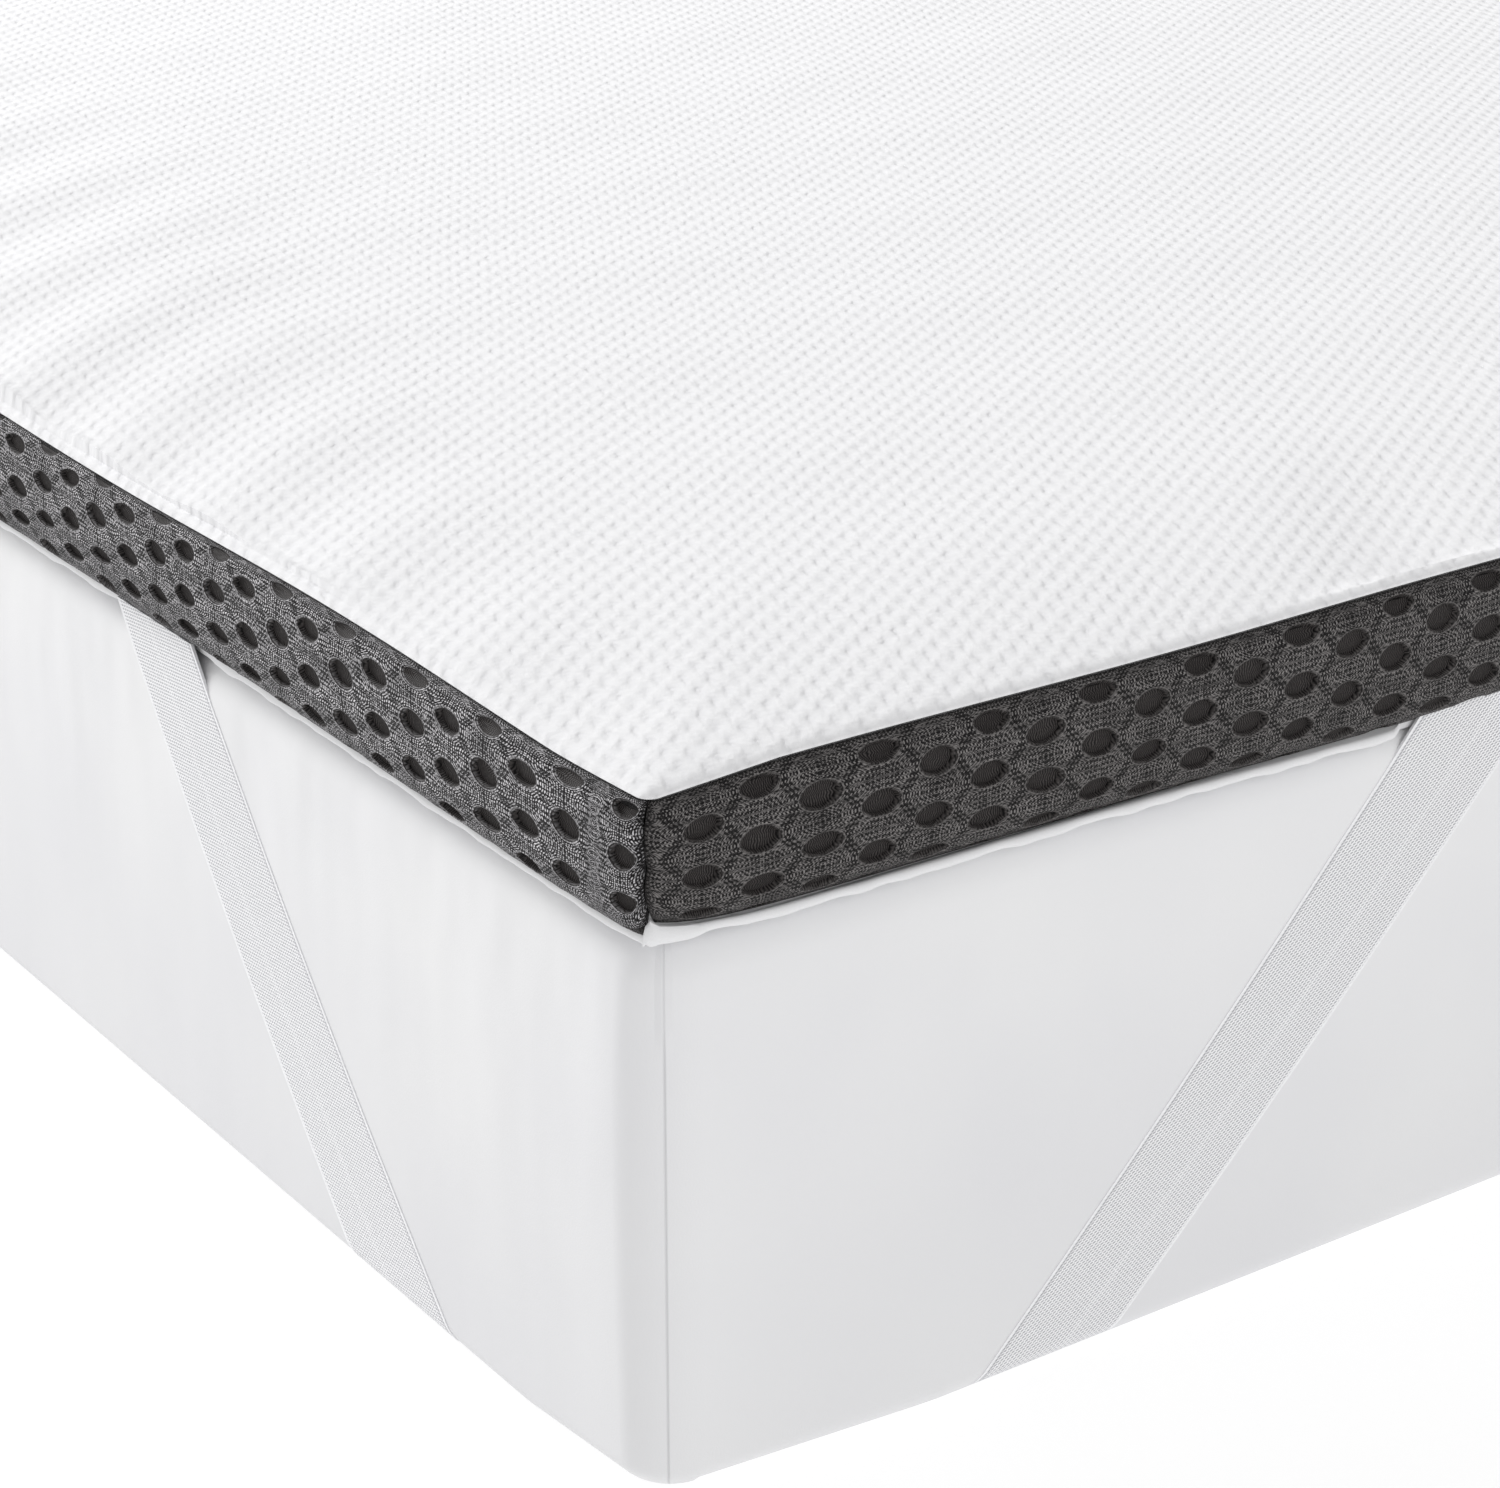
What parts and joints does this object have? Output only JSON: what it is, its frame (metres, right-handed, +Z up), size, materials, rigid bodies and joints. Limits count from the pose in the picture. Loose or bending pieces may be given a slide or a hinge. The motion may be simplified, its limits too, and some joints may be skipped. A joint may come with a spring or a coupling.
{
  "type": "mattress topper on mattress",
  "caption": "Filled topper with a white knitted top and a charcoal mesh border, held by slanting elastic corner straps on a plain mattress.",
  "frame": {"origin": "on the floor, below the middle of the mattress", "axes": "+Z up, +Y from the foot to the head, +X across the bed; the corner nearest the viewer is at -X, -Y"},
  "size_m": [1.402, 1.9015, 0.3011],
  "materials": {
    "white_knit": "matte pebbled knit",
    "grey_spacer_mesh": "warp-knitted spacer mesh with oval holes, slight sheen",
    "white_backing_cloth": "plain woven cloth",
    "white_elastic": "ribbed woven elastic",
    "white_mattress_cover": "smooth plain cloth"
  },
  "bodies": {
    "root": {"filled_pad_with_top_panel": "white_knit", "border_strip_foot": "grey_spacer_mesh", "border_strip_right": "grey_spacer_mesh", "border_strip_head": "grey_spacer_mesh", "border_strip_left": "grey_spacer_mesh", "bottom_panel": "white_backing_cloth", "corner_strap_foot_left": "white_elastic", "corner_strap_foot_right": "white_elastic", "corner_strap_head_right": "white_elastic", "corner_strap_head_left": "white_elastic", "mattress": "white_mattress_cover"}
  },
  "joints": []
}
